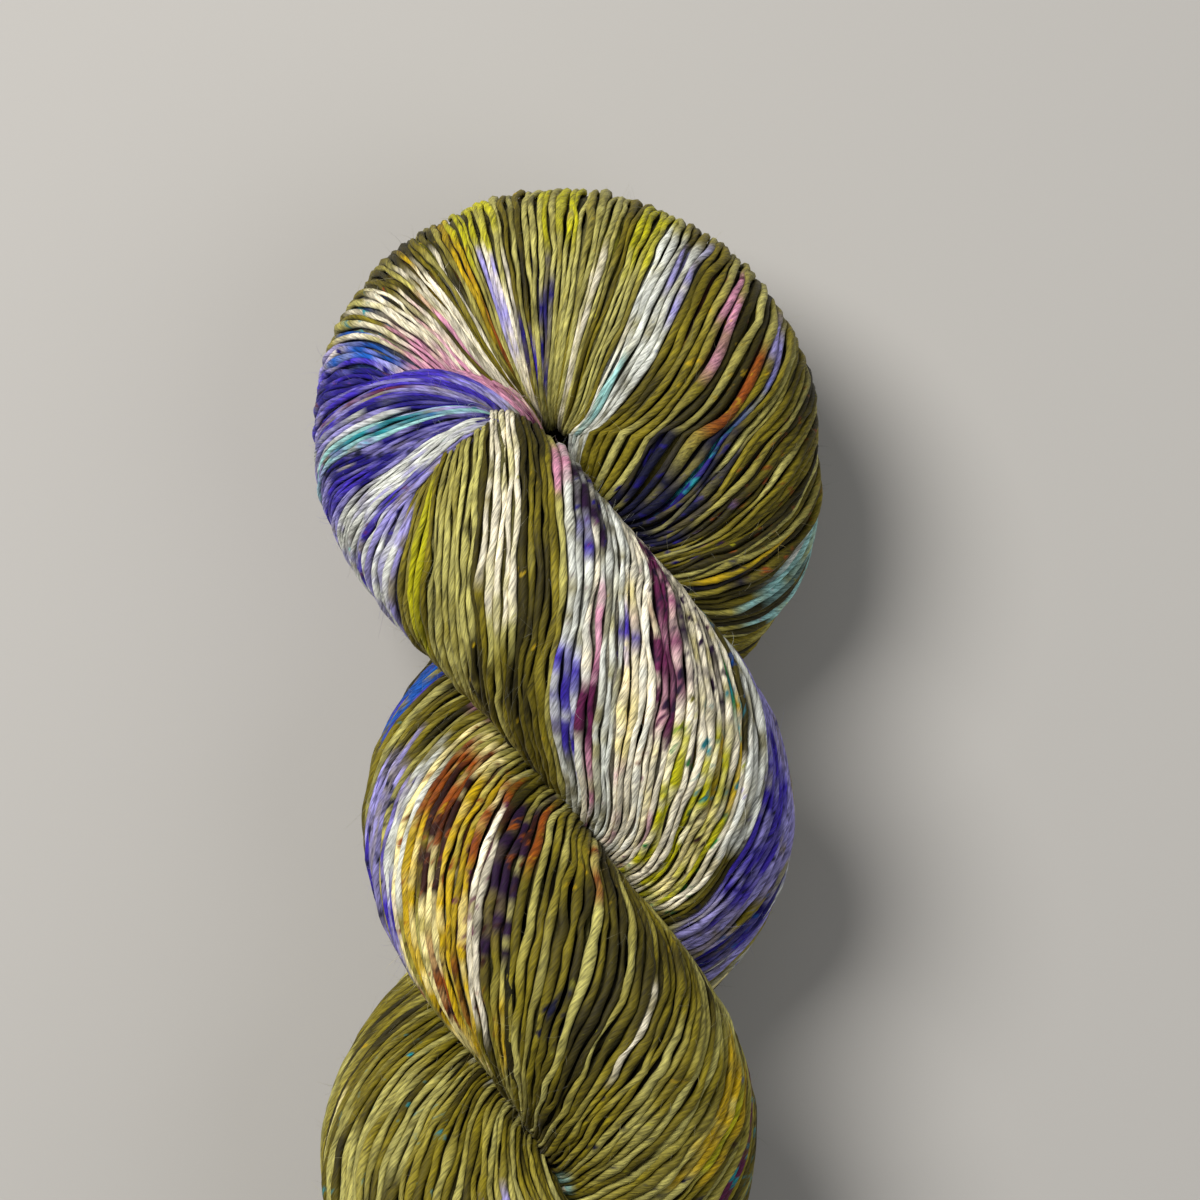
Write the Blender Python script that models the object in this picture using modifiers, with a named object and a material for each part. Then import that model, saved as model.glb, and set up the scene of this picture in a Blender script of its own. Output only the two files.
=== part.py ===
"""A skein of hand-dyed yarn: a wound hank, twisted, folded in half and plied on itself.

The skein lies along Y, with its folded head at +Y and its tucked tail at -Y. +Z is up, and the
origin is the middle of its footprint on the surface it lies on. Lengths are written in millimetres
and multiplied by MM, because Blender's own unit here is the metre.
"""

import math

import bmesh
import bpy
import numpy as np
from mathutils import Euler, Vector
from mathutils.bvhtree import BVHTree

MM = 0.001

# The head: a half turn of the ply round the eye, where all the yarns meet.
EYE_Y = 78.4            # from the origin to the eye
BEND_RADIUS = 21.0      # from the eye to the middle of the ply

# The rope below the head. "below" is measured from the eye towards the tail. The axis is the line
# that both plies wind about. "turn" is the right-hand ply's place round it in degrees, 0 to the
# right and -90 underneath; the left-hand ply is opposite. "out" is how far a ply's middle is from
# the axis, and "thick" is a ply's radius.
ROPE_COLUMNS = ("below", "axis_x", "axis_z", "turn", "right_out", "left_out", "right_thick", "left_thick")
ROPE_ROWS = (
    (-40.0, -2.0, 25.0, 8.0, 21.0, 21.0, 17.7, 17.7),
    (-22.0, -2.2, 27.5, 6.0, 21.0, 21.0, 18.4, 18.2),
    (0.0, -2.4, 30.5, -4.0, 21.0, 21.0, 22.2, 18.9),
    (10.0, -1.8, 32.0, -21.0, 21.0, 20.2, 23.2, 19.3),
    (18.0, -1.0, 32.8, -42.0, 20.2, 18.8, 22.8, 19.4),
    (27.0, -0.2, 33.0, -66.0, 18.0, 17.4, 20.6, 19.0),
    (36.0, 0.6, 32.6, -91.0, 16.6, 16.6, 18.8, 18.7),
    (63.0, 1.3, 32.0, -180.0, 16.5, 16.5, 18.5, 18.5),
    (89.0, -1.8, 32.0, -270.0, 16.5, 16.5, 18.5, 18.5),
    (115.5, -5.2, 32.0, -360.0, 16.5, 16.5, 18.5, 18.5),
    (142.0, -7.0, 32.0, -450.0, 16.5, 16.0, 18.5, 18.3),
    (156.0, -7.2, 31.0, -490.0, 17.0, 5.0, 15.0, 17.2),
    (171.0, -7.2, 27.5, -515.0, 17.0, 1.5, 12.0, 14.4),
    (184.0, -7.4, 22.0, -530.0, 17.0, 0.5, 12.0, 16.4),
    (199.0, -7.8, 17.0, -540.0, 17.0, 0.2, 12.0, 16.0),
)
POINT_STEP = 4.0        # between two points of the hairpin curve
PLY_STRETCH = 1.35      # a ply's own length for each unit along the rope
SECTION_SIDES = 6       # bevel resolution of the ply

# The tail: the right-hand ply ends in a collar, and the left-hand one is tucked through it.
COLLAR_BELOW = 150.5
COLLAR_RADIUS = 21.5    # from the axis to the middle of the collar
COLLAR_THICK = 12.0     # half of its thickness, towards the axis
COLLAR_WIDE = 12.5      # half of its width, along the axis
COLLAR_LEAN = (-10.0, 0.0, 6.0)
TONGUE_TIP = 196.0      # end of the tucked loop, below the eye
TIP_RADIUS = 0.25       # what is left of the dome at the last point

# The wound body's skin.
GRAIN = 2.9             # size of the facets as first made
SKIN_SMOOTHING = 4
KEPT_FACETS = 0.36      # share of them that is kept

# The tie: a loop of cotton thread round the neck of the tucked loop, a knot and two short ends.
THREAD = 0.6            # half of the thread's thickness
PIECE_GAP = 0.35        # between two pieces that touch
TIE_LIFT = 0.75         # from the neck's round to the thread
TIE_BELOW = 171.5
TIE_POINTS = 40
NECK_SEARCH = 26.0      # from the neck's middle to where the search for its skin starts
KNOT_SIZE = (2.0, 1.5, 1.2)
KNOT_ROUND = 62.0       # the knot's place round the neck in degrees, 90 on top
TIE_END_POINTS = 14
TIE_END_NAMES = ("name", "below_start", "below_end", "round_start", "round_end")
TIE_ENDS = (
    ("tie_end_right", 173.9, 186.0, 52.5, -8.0),
    ("tie_end_left", 173.9, 183.0, 71.5, 128.0),
)

YARN_COLOUR = (0.135, 0.125, 0.035, 1.0)
THREAD_COLOUR = (0.005, 0.075, 0.050, 1.0)
YARN_ROUGHNESS = 0.72
THREAD_ROUGHNESS = 0.60
FLOOR_CUTTER = (400.0, 400.0, 60.0)


def clear_scene():
    for old in list(bpy.data.objects):
        bpy.data.objects.remove(old, do_unlink=True)


def new_collection(name):
    collection = bpy.data.collections.new(name)
    bpy.context.scene.collection.children.link(collection)
    return collection


def new_material(name, colour, roughness):
    material = bpy.data.materials.new(name)
    material.use_nodes = True
    shader = material.node_tree.nodes["Principled BSDF"]
    shader.inputs["Base Color"].default_value = colour
    shader.inputs["Roughness"].default_value = roughness
    shader.inputs["Metallic"].default_value = 0.0
    material.diffuse_color = colour
    return material


def monotone_slopes(x, y):
    """Slopes for a cubic through the rows that never swings past them."""
    step = np.diff(x)
    rise = np.diff(y) / step
    slopes = np.zeros(len(x))
    slopes[0] = rise[0]
    slopes[-1] = rise[-1]
    same_way = rise[:-1] * rise[1:] > 0.0
    before = 2.0 * step[1:] + step[:-1]
    after = step[1:] + 2.0 * step[:-1]
    first = np.where(same_way, rise[:-1], 1.0)
    second = np.where(same_way, rise[1:], 1.0)
    slopes[1:-1] = np.where(same_way, (before + after) / (before / first + after / second), 0.0)
    return slopes


def rope(column, below):
    """The value of a column of the rope's table at any distance below the eye."""
    rows = np.array(ROPE_ROWS)
    x = rows[:, 0]
    y = rows[:, ROPE_COLUMNS.index(column)]
    slopes = monotone_slopes(x, y)
    at = np.clip(np.asarray(below, float), x[0], x[-1])
    row = np.clip(np.searchsorted(x, at) - 1, 0, len(x) - 2)
    width = x[row + 1] - x[row]
    t = (at - x[row]) / width
    start = (1.0 + 2.0 * t) * (1.0 - t) ** 2 * y[row]
    start_slope = t * (1.0 - t) ** 2 * width * slopes[row]
    end = t**2 * (3.0 - 2.0 * t) * y[row + 1]
    end_slope = t**2 * (t - 1.0) * width * slopes[row + 1]
    return start + start_slope + end + end_slope


def ply_points(side, below, across):
    """Points at "across" from the axis, in the plane of both plies. side is 1 right, -1 left."""
    turn = np.radians(rope("turn", below))
    return np.stack([
        rope("axis_x", below) + side * across * np.cos(turn),
        EYE_Y - below,
        rope("axis_z", below) + side * across * np.sin(turn),
    ], axis=-1)


def leg(side, name, end_below):
    """One ply from the eye's level down to its end: points and radii."""
    below = np.linspace(0.0, end_below, round(end_below * PLY_STRETCH / POINT_STEP))
    points = ply_points(side, below, rope(name + "_out", below))
    return points, rope(name + "_thick", below)


def head():
    """The half turn over the eye, from the left-hand ply to the right-hand one."""
    angles = np.linspace(math.pi, 0.0, round(math.pi * BEND_RADIUS / POINT_STEP))[1:-1]
    below = -BEND_RADIUS * np.sin(angles)
    points = ply_points(1.0, below, BEND_RADIUS * np.cos(angles))
    right_share = 0.5 + 0.5 * np.cos(angles)
    thick = rope("right_thick", below) * right_share + rope("left_thick", below) * (1.0 - right_share)
    return points, thick


def round_off(below_end, radii, points):
    """Radii that close the tucked loop in a dome, ending at the tip."""
    to_tip = EYE_Y - points[:, 1]
    left = np.clip(below_end - to_tip, 0.0, None)
    dome = np.sqrt(np.clip(radii**2 - np.clip(radii - left, 0.0, None) ** 2, TIP_RADIUS**2, None))
    return np.where(left < radii, dome, radii)


def curve_object(name, points, radii, sides, collection, closed=False):
    """A POLY curve with a round bevel, its radius given point by point, all in millimetres."""
    data = bpy.data.curves.new(name, "CURVE")
    data.dimensions = "3D"
    data.bevel_depth = MM
    data.bevel_resolution = sides
    data.use_fill_caps = True
    data.twist_mode = "MINIMUM"
    spline = data.splines.new("POLY")
    spline.points.add(len(points) - 1)
    for point, place, radius in zip(spline.points, points, radii):
        point.co = (*(place * MM), 1.0)
        point.radius = radius
    spline.use_cyclic_u = closed
    made = bpy.data.objects.new(name, data)
    collection.objects.link(made)
    return made


def made_mesh(curve, collection):
    """The curve's own surface as a mesh object with welded caps, in place of the curve."""
    bpy.context.view_layer.update()
    graph = bpy.context.evaluated_depsgraph_get()
    mesh = bpy.data.meshes.new_from_object(curve.evaluated_get(graph))
    cleaned = bmesh.new()
    cleaned.from_mesh(mesh)
    bmesh.ops.remove_doubles(cleaned, verts=cleaned.verts, dist=0.00001)
    bmesh.ops.recalc_face_normals(cleaned, faces=cleaned.faces)
    cleaned.to_mesh(mesh)
    cleaned.free()
    made = bpy.data.objects.new(curve.name, mesh)
    made.matrix_world = curve.matrix_world
    name = curve.name
    bpy.data.objects.remove(curve, do_unlink=True)
    made.name = name
    collection.objects.link(made)
    return made


def smooth_shaded(made, material, sharp_degrees=40.0):
    made.data.materials.clear()
    made.data.materials.append(material)
    made.data.shade_smooth()
    made.data.set_sharp_from_angle(angle=math.radians(sharp_degrees))


def add_hairpin(collection):
    """Both plies and the head as one closed tube, from the collar round to the tongue's tip."""
    right, right_radii = leg(1.0, "right", COLLAR_BELOW)
    left, left_radii = leg(-1.0, "left", TONGUE_TIP)
    left_radii = round_off(TONGUE_TIP, left_radii, left)
    bend, bend_radii = head()
    points = np.concatenate([left[::-1], bend, right])
    radii = np.concatenate([left_radii[::-1], bend_radii, right_radii])
    return made_mesh(curve_object("hairpin", points, radii, SECTION_SIDES, collection), collection)


def add_collar():
    """The open end of the right-hand ply, round the neck of the tucked loop."""
    centre = ply_points(1.0, np.array([COLLAR_BELOW]), np.zeros(1))[0]
    bpy.ops.mesh.primitive_torus_add(
        major_radius=COLLAR_RADIUS * MM, minor_radius=COLLAR_THICK * MM,
        major_segments=48, minor_segments=20,
    )
    collar = bpy.context.active_object
    along_axis = Euler((math.radians(90.0), 0.0, 0.0)).to_matrix()
    lean = Euler([math.radians(angle) for angle in COLLAR_LEAN]).to_matrix()
    for vertex in collar.data.vertices:
        vertex.co.z *= COLLAR_WIDE / COLLAR_THICK
        vertex.co = lean @ (along_axis @ vertex.co) + Vector(centre * MM)
    return collar


def add_floor_cutter(collection):
    bpy.ops.mesh.primitive_cube_add(size=MM)
    cutter = bpy.context.active_object
    cutter.name = "floor_cutter"
    for vertex in cutter.data.vertices:
        vertex.co *= Vector(FLOOR_CUTTER)
        vertex.co.z -= 0.5 * FLOOR_CUTTER[2] * MM
    for owner in list(cutter.users_collection):
        owner.objects.unlink(cutter)
    collection.objects.link(cutter)
    cutter.hide_render = True
    cutter.display_type = "WIRE"
    return cutter


def add_wound_body(collection, cutters, material):
    """The whole wound form as one skin over both plies, the head, the collar and the tongue."""
    body = add_hairpin(collection)
    collar = add_collar()
    joined = bmesh.new()
    joined.from_mesh(body.data)
    joined.from_mesh(collar.data)
    joined.to_mesh(body.data)
    joined.free()
    bpy.data.objects.remove(collar, do_unlink=True)
    body.name = "yarn_skein"
    skin = body.modifiers.new("skin", "REMESH")
    skin.mode = "VOXEL"
    skin.voxel_size = GRAIN * MM
    skin.use_smooth_shade = True
    soften = body.modifiers.new("soften", "SMOOTH")
    soften.factor = 0.5
    soften.iterations = SKIN_SMOOTHING
    fewer = body.modifiers.new("fewer facets", "DECIMATE")
    fewer.ratio = KEPT_FACETS
    flat = body.modifiers.new("flat underside", "BOOLEAN")
    flat.operation = "DIFFERENCE"
    flat.solver = "EXACT"
    flat.object = add_floor_cutter(cutters)
    smooth_shaded(body, material)
    return body


def neck_points(skin, below, round_degrees, lift):
    """Points round the neck of the tucked loop, "lift" off its skin. 0 degrees is right, 90 is on top."""
    centres = ply_points(-1.0, below, rope("left_out", below)) * MM
    angles = np.radians(round_degrees)
    points = []
    for centre, angle in zip(centres, angles):
        outward = Vector((math.cos(angle), 0.0, math.sin(angle)))
        far = Vector(centre) + outward * NECK_SEARCH * MM
        touched = skin.ray_cast(far, -outward)[0]
        points.append(touched / MM + outward * lift)
    return np.array(points)


def add_tie_loop(skin, collection, material):
    turn = np.linspace(0.0, 360.0, TIE_POINTS, endpoint=False)
    below = np.full(TIE_POINTS, TIE_BELOW)
    points = neck_points(skin, below, turn, TIE_LIFT + THREAD)
    loop = curve_object("tie_loop", points, np.full(TIE_POINTS, THREAD), 2, collection, closed=True)
    smooth_shaded(made_mesh(loop, collection), material)


def add_tie_knot(skin, collection, material):
    """A small round knot, just below the loop."""
    below = np.array([TIE_BELOW + THREAD + KNOT_SIZE[1] + PIECE_GAP])
    place = neck_points(skin, below, np.array([KNOT_ROUND]), TIE_LIFT + KNOT_SIZE[2])[0]
    bpy.ops.mesh.primitive_uv_sphere_add(segments=16, ring_count=10, radius=MM)
    knot = bpy.context.active_object
    knot.name = "tie_knot"
    upright = Euler((0.0, math.radians(90.0 - KNOT_ROUND), 0.0)).to_matrix()
    for vertex in knot.data.vertices:
        vertex.co *= Vector(KNOT_SIZE)
        vertex.co = upright @ vertex.co + Vector(place * MM)
    for owner in list(knot.users_collection):
        owner.objects.unlink(knot)
    collection.objects.link(knot)
    smooth_shaded(knot, material)


def add_tie_ends(skin, collection, material):
    """The two free ends, each from beside the knot over the round of the tucked loop."""
    for row in TIE_ENDS:
        end = dict(zip(TIE_END_NAMES, row))
        t = np.linspace(0.0, 1.0, TIE_END_POINTS)
        below = end["below_start"] + (end["below_end"] - end["below_start"]) * t
        angle = end["round_start"] + (end["round_end"] - end["round_start"]) * t
        points = neck_points(skin, below, angle, TIE_LIFT + THREAD)
        radii = np.full(TIE_END_POINTS, THREAD)
        thread = curve_object(end["name"], points, radii, 2, collection)
        smooth_shaded(made_mesh(thread, collection), material)


def main():
    clear_scene()
    skein = new_collection("skein_of_yarn")
    cutters = new_collection("cutters")
    yarn = new_material("hand_dyed_wool_yarn", YARN_COLOUR, YARN_ROUGHNESS)
    thread = new_material("green_cotton_thread", THREAD_COLOUR, THREAD_ROUGHNESS)
    body = add_wound_body(skein, cutters, yarn)
    bpy.context.view_layer.update()
    skin = BVHTree.FromObject(body, bpy.context.evaluated_depsgraph_get())
    add_tie_loop(skin, skein, thread)
    add_tie_knot(skin, skein, thread)
    add_tie_ends(skin, skein, thread)


main()
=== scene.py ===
import math

import bpy
import numpy as np
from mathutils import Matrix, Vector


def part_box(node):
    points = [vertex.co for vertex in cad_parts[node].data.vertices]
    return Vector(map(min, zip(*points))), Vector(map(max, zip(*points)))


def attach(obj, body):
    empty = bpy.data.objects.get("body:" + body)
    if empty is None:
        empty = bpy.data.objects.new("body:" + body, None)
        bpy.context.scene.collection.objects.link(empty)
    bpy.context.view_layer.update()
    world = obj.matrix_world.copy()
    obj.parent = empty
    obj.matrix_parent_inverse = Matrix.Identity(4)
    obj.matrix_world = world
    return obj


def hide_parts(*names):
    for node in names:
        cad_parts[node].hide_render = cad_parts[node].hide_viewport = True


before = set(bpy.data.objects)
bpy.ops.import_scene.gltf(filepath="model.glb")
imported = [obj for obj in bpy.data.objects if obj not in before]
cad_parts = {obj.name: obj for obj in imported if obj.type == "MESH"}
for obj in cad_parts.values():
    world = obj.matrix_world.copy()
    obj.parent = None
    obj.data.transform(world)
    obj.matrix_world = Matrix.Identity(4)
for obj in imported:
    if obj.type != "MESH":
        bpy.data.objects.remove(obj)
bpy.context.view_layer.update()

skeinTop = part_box("yarn_skein")[1].y
mm = 0.001
print("frame loaded:", sorted(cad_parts))


# The skein's form, in millimetres: one wound ply goes up the right-hand side, round the eye of the
# head and down the left-hand side, and its two legs wind round each other.
form = {
    "headReach": 38.7,  # from the eye to the top of the head
    "bendRadius": 21.0,  # from the eye to the middle of the ply
    "bendRise": 19.8,  # the same straight above the eye
    "bendFuller": 3.2,  # how much fatter the ply is there
    "rightEnd": 152.0,  # where each leg ends, below the eye
    "leftEnd": 158.0,
    "meetGap": 0.4,  # each ply's clearance from the plane where the two meet
    "meetSoft": 1.6,  # how gently a ply flattens against that plane
    "eyeClose": 2.6,  # how far the head's yarns reach past the middle of the eye
    "eyeWithin": 9.0,  # and how far above the eye they reach that far
    "floorLift": 0.95,  # the lowest that a yarn's middle may lie
    "floorSoft": 1.1,  # how gently the skein flattens there
    "floorDeep": 0.4,  # share of its own depth by which a deeper yarn lies higher
}
eyeY = skeinTop / mm - form["headReach"]

# "turn" is the right-hand leg's angle about the axis, "out" each leg's distance from it
ropeColumns = ("below", "axisX", "axisZ", "turn", "rightOut", "leftOut", "rightThick", "leftThick")
ropeRows = np.array([
    (-40, -2, 25, 8, 21, 21, 17.7, 17.7),
    (-22, -2.2, 27.5, 6, 21, 21, 18.4, 18.2),
    (0, -2.4, 30.5, -4, 21, 21, 22.2, 18.9),
    (10, -1.8, 32, -21, 21, 20.2, 23.2, 19.3),
    (18, -1, 32.8, -42, 20.2, 18.8, 22.8, 19.4),
    (27, -0.2, 33, -66, 18, 17.4, 20.6, 19),
    (36, 0.6, 32.6, -91, 16.6, 16.6, 18.8, 18.7),
    (63, 1.3, 32, -180, 16.5, 16.5, 18.5, 18.5),
    (89, -1.8, 32, -270, 16.5, 16.5, 18.5, 18.5),
    (115.5, -5.2, 32, -360, 16.5, 16.5, 18.5, 18.5),
    (131, -6.4, 32, -411, 16.5, 15.8, 18.5, 18),
    (142, -7, 32, -450, 16.5, 10, 18, 14.6),
    (149, -7.1, 31.6, -470, 16.8, 4, 16, 12.6),
    (156, -7.2, 31, -490, 17, 3, 15, 13.4),
    (171, -7.2, 27.5, -515, 17, 1.5, 12, 14.4),
    (184, -7.4, 22, -530, 17, 0.5, 12, 16.4),
    (199, -7.8, 17, -540, 17, 0.2, 12, 16),
])


# A cubic through the rows whose slope at each row is the weighted harmonic mean of the slopes on
# both sides, or nought where they point opposite ways, so that it never swings past a row.
def throughRows(x, y, at):
    step = np.diff(x)
    rise = np.diff(y) / step
    slopes = np.zeros(len(x))
    slopes[0] = rise[0]
    slopes[-1] = rise[-1]
    sameWay = rise[:-1] * rise[1:] > 0.0
    first = np.where(sameWay, rise[:-1], 1.0)
    second = np.where(sameWay, rise[1:], 1.0)
    before = 2.0 * step[1:] + step[:-1]
    after = step[1:] + 2.0 * step[:-1]
    slopes[1:-1] = np.where(sameWay, (before + after) / (before / first + after / second), 0.0)
    at = np.clip(np.asarray(at, float), x[0], x[-1])
    row = np.clip(np.searchsorted(x, at) - 1, 0, len(x) - 2)
    width = x[row + 1] - x[row]
    t = (at - x[row]) / width
    low = (1.0 + 2.0 * t) * (1.0 - t) ** 2 * y[row] + t * (1.0 - t) ** 2 * width * slopes[row]
    high = t**2 * (3.0 - 2.0 * t) * y[row + 1] + t**2 * (t - 1.0) * width * slopes[row + 1]
    return low + high


# One of the columns above, read at any distance below the eye.
def rope(column, below):
    return throughRows(ropeRows[:, 0], ropeRows[:, ropeColumns.index(column)], below)


# max(value, floor) with a rounded corner: floor + soft * log(1 + exp((value - floor) / soft))
def softMax(value, floor, soft):
    return floor + soft * np.logaddexp(0.0, (value - floor) / soft)


# A point "out" from the rope's axis along the turned direction.
def fromAxis(below, out):
    turn = np.radians(rope("turn", below))
    return np.stack([rope("axisX", below) + out * np.cos(turn), eyeY - below,
                     rope("axisZ", below) + out * np.sin(turn)], axis=-1)


# Each vector divided by its own length.
def unit(vectors):
    return vectors / np.linalg.norm(vectors, axis=-1, keepdims=True)


# How far along each path its points are: the running sum of the steps between them.
def along(points):
    steps = np.cumsum(np.linalg.norm(np.diff(points, axis=-2), axis=-1), axis=-1)
    return np.concatenate([0.0 * steps[..., :1], steps], axis=-1)


# Points that would go under "lowest" flattened on it.
def onFloor(points, lowest=form["floorLift"]):
    points[..., 2] = softMax(points[..., 2], lowest, form["floorSoft"])
    return points


# The middle line of the whole ply by its own length: 0 at the top of the head, negative down the
# right-hand leg and positive down the left. Above the eye "out" is the cosine of a half circle and
# the height its sine.
def hairpin():
    rightBelow = np.linspace(form["rightEnd"], 0.0, 900)[:-1]
    angle = np.linspace(0.0, math.pi, 400)
    leftBelow = np.linspace(0.0, form["leftEnd"], 900)[1:]
    below = np.concatenate([rightBelow, -form["bendRise"] * np.sin(angle), leftBelow])
    across = np.concatenate([
        rope("rightOut", rightBelow),
        form["bendRadius"] * np.cos(angle),
        -rope("leftOut", leftBelow),
    ])
    rightShare = np.clip(0.5 + 0.5 * across / form["bendRadius"], 0.0, 1.0)
    rightShare = np.where(below >= 0.0, (across > 0.0) * 1.0, rightShare)
    thick = rope("rightThick", below) * rightShare + rope("leftThick", below) * (1.0 - rightShare)
    thick = thick + form["bendFuller"] * np.clip(-below / form["bendRise"], 0.0, 1.0)
    middle = fromAxis(below, across)
    coreBelow = np.maximum(below, 0.0)
    core = np.stack([rope("axisX", coreBelow), eyeY - coreBelow, rope("axisZ", below)], axis=-1)
    length = along(middle)
    length -= length[np.argmin(below)]
    ahead = unit(np.gradient(middle, length, axis=0))
    outward = unit(middle - core)
    return {"length": length, "middle": middle, "core": core, "ahead": ahead, "outward": outward,
            "thick": thick, "below": below}


line = hairpin()


# One of the middle line's tables at any length, on straight lines between its rows.
def lineAt(name, length):
    table = line[name]
    if table.ndim == 1:
        return np.interp(length, line["length"], table)
    return np.stack([np.interp(length, line["length"], table[:, i]) for i in range(3)], axis=-1)


# A point of the ply's skin: the middle line at "length", plus the radius towards "around", an angle
# that is 0 away from the rope's axis. It is pressed flat at the plane where the two legs meet, which
# lies "eyeClose" farther round the eye, and on the floor.
def plySkin(length, around, lift):
    middle = lineAt("middle", length)
    ahead = unit(lineAt("ahead", length))
    outward = unit(lineAt("outward", length))
    normal = unit(outward - ahead * np.sum(outward * ahead, axis=-1, keepdims=True))
    side = np.cross(ahead, normal)
    reach = (lineAt("thick", length) + lift)[..., None]
    away = np.cos(around)[..., None] * normal + np.sin(around)[..., None] * side
    points = middle + reach * away
    fromCore = np.sum((points - lineAt("core", length)) * outward, axis=-1)
    closing = form["eyeClose"] * np.clip(-lineAt("below", length) / form["eyeWithin"], 0.0, 1.0)
    pressed = softMax(fromCore, form["meetGap"] - lift - closing, form["meetSoft"])
    points = points + (pressed - fromCore)[..., None] * outward
    return onFloor(points, form["floorLift"] - form["floorDeep"] * lift), away


# Value noise: random numbers on a lattice, joined by smoothsteps 3a^2 - 2a^3 in both directions. One
# coordinate may be a column and the other a row.
def smoothNoise(rng, u, v):
    u, v = np.broadcast_arrays(u - np.min(u), v - np.min(v))
    lattice = rng.normal(size=(int(u.max()) + 2, int(v.max()) + 2))
    i = u.astype(int)
    j = v.astype(int)
    a = u - i
    b = v - j
    a = a * a * (3.0 - 2.0 * a)
    b = b * b * (3.0 - 2.0 * b)
    return ((lattice[i, j] * (1 - a) + lattice[i + 1, j] * a) * (1 - b)
            + (lattice[i, j + 1] * (1 - a) + lattice[i + 1, j + 1] * a) * b)


# How the yarns lie on the ply, by the length where each passes its outermost line: the step to the
# next, the degrees round the ply where it starts and ends, and how far along the ply it has moved at
# these degrees, then how much more with every 30 after 60. On the legs they lean evenly, and on the
# head they fan out from the eye's left-hand end.
layColumns = ("length", "step", "start", "end", -150, -120, -90, -60, -30, 30, 60, "more")
layRows = np.array([
    (-240, 0.94, -166, 160, -28, -22, -15.5, -9.4, -4.6, 4.5, 9.2, 6.2),
    (-184, 0.94, -166, 160, -28, -22, -15.5, -9.4, -4.6, 4.5, 9.2, 6.2),
    (-164, 0.94, -166, 160, -21, -15.5, -9.2, -4.5, -1.9, 2.3, 5.8, 6),
    (-154, 0.94, -166, 160, -22, -16, -10.2, -5.6, -2.4, 2.5, 6.2, 6),
    (-143, 0.94, -150, 150, -26.5, -20, -14, -8.6, -4.3, 4, 8.7, 5.7),
    (-132, 0.94, -150, 150, -29, -22.5, -16.5, -10.4, -5.1, 4.7, 9.8, 6.2),
    (-95, 0.94, -152, 150, -28, -21.5, -15.2, -9.4, -4.6, 4.6, 9.4, 6),
    (-70, 0.90, -158, 158, -22.5, -18, -13.5, -9, -4.5, 4.5, 9, 4.5),
    (-50, 0.80, -168, 168, -21, -16.8, -12.5, -8.4, -4.2, 4.2, 8.4, 4.2),
    (-36.5, 0.69, -175, 175, -16, -12.4, -9, -6, -3, 3.2, 6.5, 3.4),
    (-28.6, 0.67, -176, 176, -19, -15, -10.8, -6.6, -2.9, 3, 6, 3.2),
    (-22, 0.67, -176, 176, -21.5, -16.6, -11.6, -6.2, -2, 2.4, 4.8, 2.4),
    (-18.5, 0.67, -176, 176, -22.5, -16, -9.4, -4, -1, 1.9, 3.9, 2),
    (-13.5, 0.67, -176, 176, -19.5, -9.8, -5.2, -2.3, -0.7, 1.2, 2.6, 1.5),
    (-1, 0.67, -176, 176, 2, -1.2, -1.3, -0.8, -0.3, 0.2, 0.5, 0.4),
    (4, 0.67, -176, 176, 8, 2.2, 0.6, 0.2, 0, 0.2, 0.5, 0.5),
    (12, 0.67, -176, 176, 19, 8, 2.6, 0.9, 0.2, 0.4, 0.9, 0.6),
    (20.5, 0.67, -162, 176, 26, 15, 5.2, 1.6, 0.3, 0.5, 1, 0.8),
    (27, 0.67, -134, 176, 23, 18, 8, 2.4, 0.8, 0.3, 0.8, 0.9),
    (34.5, 0.67, -104, 176, 17.3, 15.2, 10.6, 4.6, 1.7, -0.2, 0.5, 1.1),
    (39, 0.67, -99, 176, 13.8, 12.4, 10, 6.6, 3.3, -1, -0.4, 1.3),
    (42.5, 0.67, -97, 175, 10.9, 10, 8.9, 7.6, 4.9, -1.6, -1, 1.6),
    (49.5, 0.69, -96, 172, 4.6, 3.5, 2.8, 2.8, 2.4, -1.8, -1, 2.2),
    (53.5, 0.71, -92, 170, 0.9, -0.2, -0.8, 0.4, 1.2, -1.2, 0.2, 2.8),
    (57.5, 0.76, -46, 168, -12, -9, -7, -4.4, -2, 1.4, 3.8, 3.6),
    (62.5, 0.82, -60, 163, -21, -18, -14, -9.2, -4.5, 3.2, 6.8, 4.1),
    (67, 0.86, -78, 158, -28, -24, -17.6, -11.3, -5.4, 4.4, 8.7, 4.4),
    (70, 0.88, -103, 156, -31, -28.5, -19.2, -11.7, -5.4, 4.5, 9, 4.5),
    (76.8, 0.90, -134, 153, -30, -26.5, -18.4, -11.2, -5.3, 4.6, 9.6, 6.2),
    (84, 0.92, -150, 150, -27, -21, -15, -9.6, -4.8, 4.8, 9.9, 7),
    (92, 0.94, -152, 150, -27, -21, -15, -9.5, -4.8, 4.8, 9.8, 7),
    (118, 0.94, -152, 152, -30, -23, -16, -9.8, -4.9, 4.7, 9.8, 6.8),
    (190, 0.95, -166, 160, -33, -25, -16.8, -9.9, -4.9, 4.7, 9.7, 6.5),
    (228, 0.96, -166, 160, -34, -26, -17, -10, -4.9, 4.7, 9.6, 6.4),
    (250, 0.96, -166, 160, -34, -26, -17, -10, -4.9, 4.7, 9.6, 6.4),
])


# One of the columns above, read at any length.
def lay(column, length):
    return throughRows(layRows[:, 0], layRows[:, layColumns.index(column)], length)


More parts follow.
